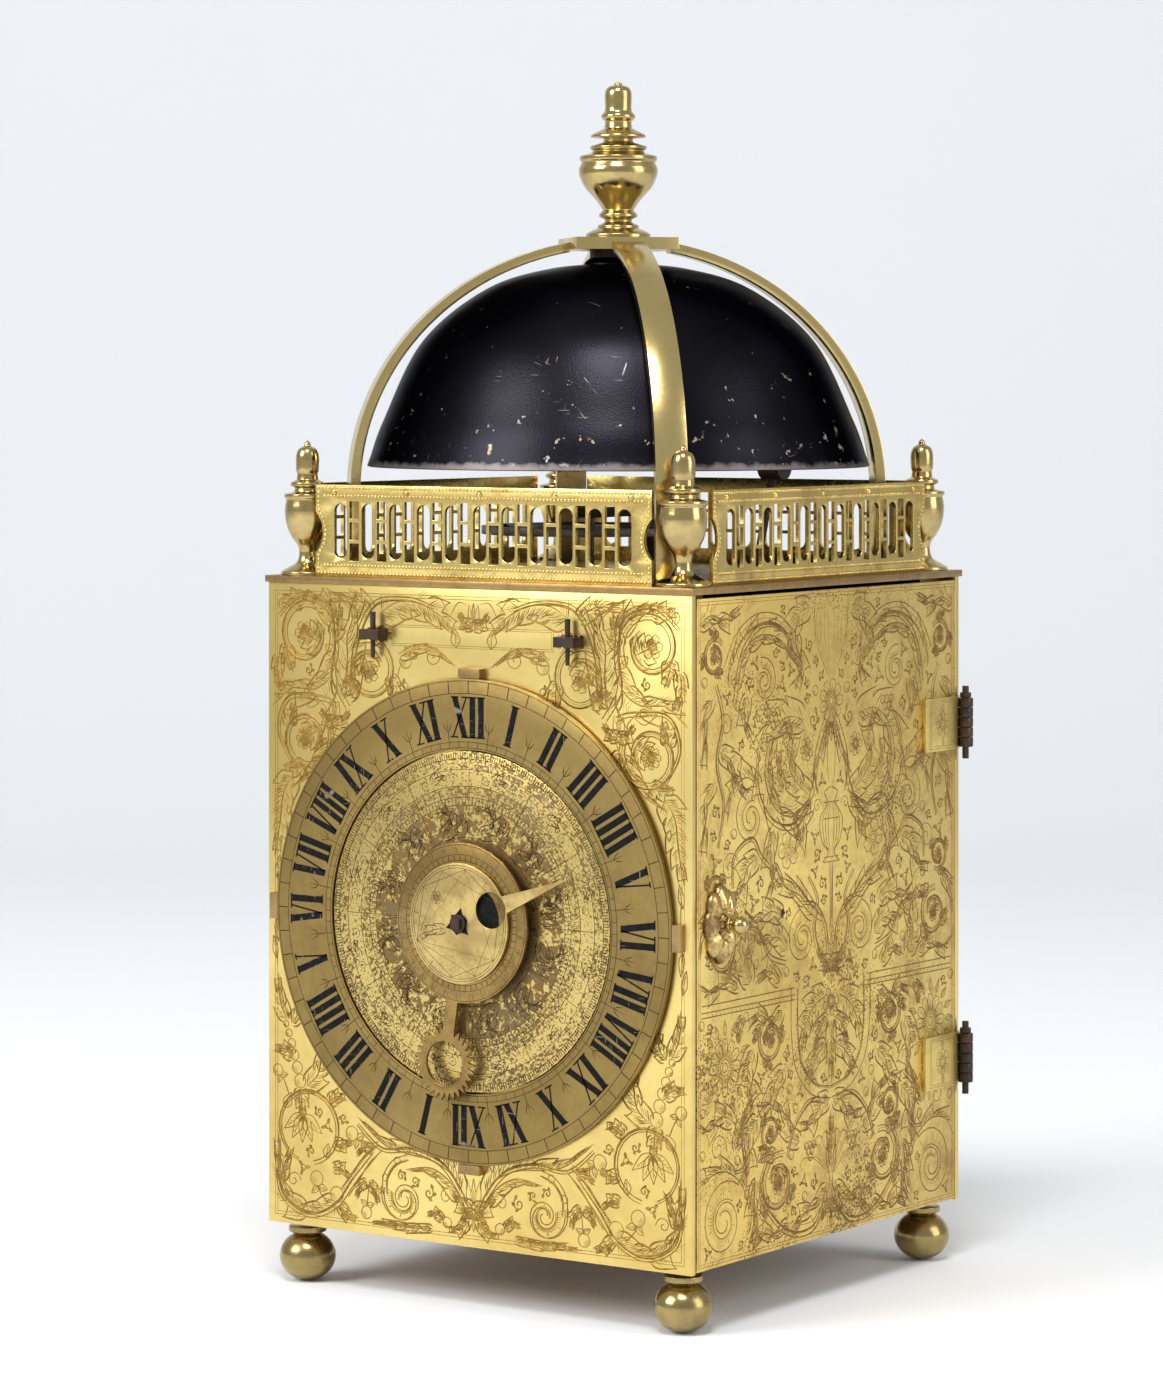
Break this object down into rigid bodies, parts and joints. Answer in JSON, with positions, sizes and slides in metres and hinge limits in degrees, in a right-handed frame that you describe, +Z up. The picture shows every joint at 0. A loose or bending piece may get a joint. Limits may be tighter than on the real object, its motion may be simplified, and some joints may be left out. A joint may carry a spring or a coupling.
{
  "type": "table clock",
  "caption": "Spring-driven posted-frame table clock with a geared astronomical dial, hinged side doors, ball feet, gallery and a bell under crossed straps.",
  "frame": {"origin": "on the ground under the middle of the case", "axes": "+Z up, the dial faces -Y, +X to the viewer's right"},
  "size_m": [0.169, 0.1635, 0.3567],
  "materials": {
    "engraved_gilt": "satin",
    "door_gilt": "satin",
    "polished_brass": "polished",
    "dial_brass": "satin",
    "plate_brass": "satin",
    "train_brass": "satin",
    "bell_black": "satin",
    "iron": "satin",
    "steel": "satin"
  },
  "bodies": {
    "case": {"base_plate": "plate_brass", "corner_posts": "iron", "ball_feet": "polished_brass", "top_plate": "plate_brass", "front_plate": "engraved_gilt", "back_plate": "engraved_gilt", "fixed_hinge_leaves": "iron", "hinge_pins": "iron", "front_plate_studs": "iron", "front_gallery_fret": "polished_brass", "back_gallery_fret": "polished_brass", "left_gallery_fret": "polished_brass", "right_gallery_fret": "polished_brass", "corner_finials": "polished_brass", "front_left_bell_strap": "polished_brass", "front_right_bell_strap": "polished_brass", "back_left_bell_strap": "polished_brass", "back_right_bell_strap": "polished_brass", "strap_crown": "polished_brass", "main_finial": "polished_brass", "bell": "bell_black", "bell_stud": "iron", "chapter_ring": "dial_brass", "chapter_ring_lugs": "dial_brass", "centre_arbor": "iron", "movement_front_plate": "train_brass", "movement_back_plate": "train_brass", "barrel_arbors": "steel", "balance_cock": "polished_brass", "potence": "train_brass", "count_wheel_post": "steel"},
    "left_door": {"left_door": "door_gilt", "left_door_hinge_leaves": "door_gilt", "left_latch_escutcheon": "polished_brass"},
    "right_door": {"right_door": "door_gilt", "right_door_hinge_leaves": "door_gilt", "right_latch_escutcheon": "polished_brass"},
    "left_latch": {"left_latch_knob": "polished_brass"},
    "right_latch": {"right_latch_knob": "polished_brass"},
    "left_taper_pin": {"left_taper_pin": "iron"},
    "right_taper_pin": {"right_taper_pin": "iron"},
    "hammer": {"hammer": "iron"},
    "calendar": {"calendar_disc": "dial_brass", "calendar_wheel": "train_brass"},
    "sun": {"sun_hand": "dial_brass", "sun_wheel": "train_brass"},
    "moon": {"moon_disc": "engraved_gilt", "moon_wheel": "train_brass"},
    "going_fusee": {"going_fusee": "train_brass", "dial_drive_pinions": "train_brass"},
    "going_barrel": {"going_barrel": "train_brass"},
    "going_second_wheel": {"going_second_wheel": "train_brass"},
    "crown_wheel": {"crown_wheel": "train_brass"},
    "balance": {"verge": "steel", "balance_wheel": "train_brass"},
    "strike_fusee": {"strike_fusee": "train_brass"},
    "strike_barrel": {"strike_barrel": "train_brass"},
    "pin_wheel": {"pin_wheel": "train_brass"},
    "fly": {"fly": "steel"},
    "count_wheel": {"count_wheel": "train_brass"}
  },
  "joints": [
    {"name": "right_door_hinge", "type": "hinge", "parent": "case", "child": "right_door", "pos_m": [0.0774, 0.074, 0.112], "axis": [0, 0, 1], "range_deg": [0, 120]},
    {"name": "left_door_hinge", "type": "hinge", "parent": "case", "child": "left_door", "pos_m": [-0.0774, 0.074, 0.112], "axis": [0, 0, -1], "range_deg": [0, 120]},
    {"name": "right_latch_turn", "type": "hinge", "parent": "right_door", "child": "right_latch", "pos_m": [0.075, -0.06, 0.1148], "axis": [1, 0, 0], "range_deg": [-90, 0]},
    {"name": "left_latch_turn", "type": "hinge", "parent": "left_door", "child": "left_latch", "pos_m": [-0.075, -0.06, 0.1148], "axis": [1, 0, 0], "range_deg": [-90, 0]},
    {"name": "left_taper_pin_slide", "type": "slide", "parent": "case", "child": "left_taper_pin", "axis": [0, 0, 1], "range_m": [0, 0.014]},
    {"name": "right_taper_pin_slide", "type": "slide", "parent": "case", "child": "right_taper_pin", "axis": [0, 0, 1], "range_m": [0, 0.014]},
    {"name": "hammer_swing", "type": "hinge", "parent": "case", "child": "hammer", "pos_m": [0.048, 0, 0.165], "axis": [0, 1, 0], "range_deg": [-14, 0]},
    {"name": "calendar_turn", "type": "hinge", "parent": "case", "child": "calendar", "pos_m": [0, -0.075, 0.1119], "axis": [0, 1, 0], "continuous": true},
    {"name": "sun_turn", "type": "hinge", "parent": "case", "child": "sun", "pos_m": [0, -0.075, 0.1119], "axis": [0, 1, 0], "continuous": true},
    {"name": "moon_turn", "type": "hinge", "parent": "case", "child": "moon", "pos_m": [0, -0.075, 0.1119], "axis": [0, 1, 0], "continuous": true},
    {"name": "going_fusee_turn", "type": "hinge", "parent": "case", "child": "going_fusee", "pos_m": [-0.03, 0, 0.09292], "axis": [0, 1, 0], "continuous": true},
    {"name": "going_barrel_turn", "type": "hinge", "parent": "case", "child": "going_barrel", "pos_m": [-0.03, 0, 0.04792], "axis": [0, 1, 0], "continuous": true},
    {"name": "going_second_wheel_turn", "type": "hinge", "parent": "case", "child": "going_second_wheel", "pos_m": [-0.024, 0, 0.12639], "axis": [0, 1, 0], "continuous": true},
    {"name": "crown_wheel_turn", "type": "hinge", "parent": "case", "child": "crown_wheel", "pos_m": [-0.01, 0, 0.15292], "axis": [0, 1, 0], "continuous": true},
    {"name": "balance_swing", "type": "hinge", "parent": "case", "child": "balance", "pos_m": [-0.01, 0, 0.221], "axis": [0, 0, 1], "range_deg": [-35, 35]},
    {"name": "strike_fusee_turn", "type": "hinge", "parent": "case", "child": "strike_fusee", "pos_m": [0.03, 0, 0.09292], "axis": [0, 1, 0], "continuous": true},
    {"name": "strike_barrel_turn", "type": "hinge", "parent": "case", "child": "strike_barrel", "pos_m": [0.03, 0, 0.04792], "axis": [0, 1, 0], "continuous": true},
    {"name": "pin_wheel_turn", "type": "hinge", "parent": "case", "child": "pin_wheel", "pos_m": [0.024, 0, 0.12639], "axis": [0, 1, 0], "continuous": true},
    {"name": "fly_turn", "type": "hinge", "parent": "case", "child": "fly", "pos_m": [0.012, 0, 0.15388], "axis": [0, 1, 0], "continuous": true},
    {"name": "count_wheel_turn", "type": "hinge", "parent": "case", "child": "count_wheel", "pos_m": [0.03, 0.05, 0.12092], "axis": [0, 1, 0], "continuous": true}
  ],
  "couplings": [
    {"joint": "going_fusee_turn", "follows": "going_second_wheel_turn", "ratio": -0.11111},
    {"joint": "sun_turn", "follows": "going_second_wheel_turn", "ratio": 0.018215},
    {"joint": "calendar_turn", "follows": "going_second_wheel_turn", "ratio": 0.018265},
    {"joint": "moon_turn", "follows": "going_second_wheel_turn", "ratio": 0.017602},
    {"joint": "going_barrel_turn", "follows": "going_second_wheel_turn", "ratio": -0.07619},
    {"joint": "crown_wheel_turn", "follows": "going_second_wheel_turn", "ratio": -9},
    {"joint": "strike_fusee_turn", "follows": "pin_wheel_turn", "ratio": -0.11111},
    {"joint": "strike_barrel_turn", "follows": "pin_wheel_turn", "ratio": -0.07619},
    {"joint": "fly_turn", "follows": "pin_wheel_turn", "ratio": -9},
    {"joint": "count_wheel_turn", "follows": "pin_wheel_turn", "ratio": 0.018519}
  ]
}
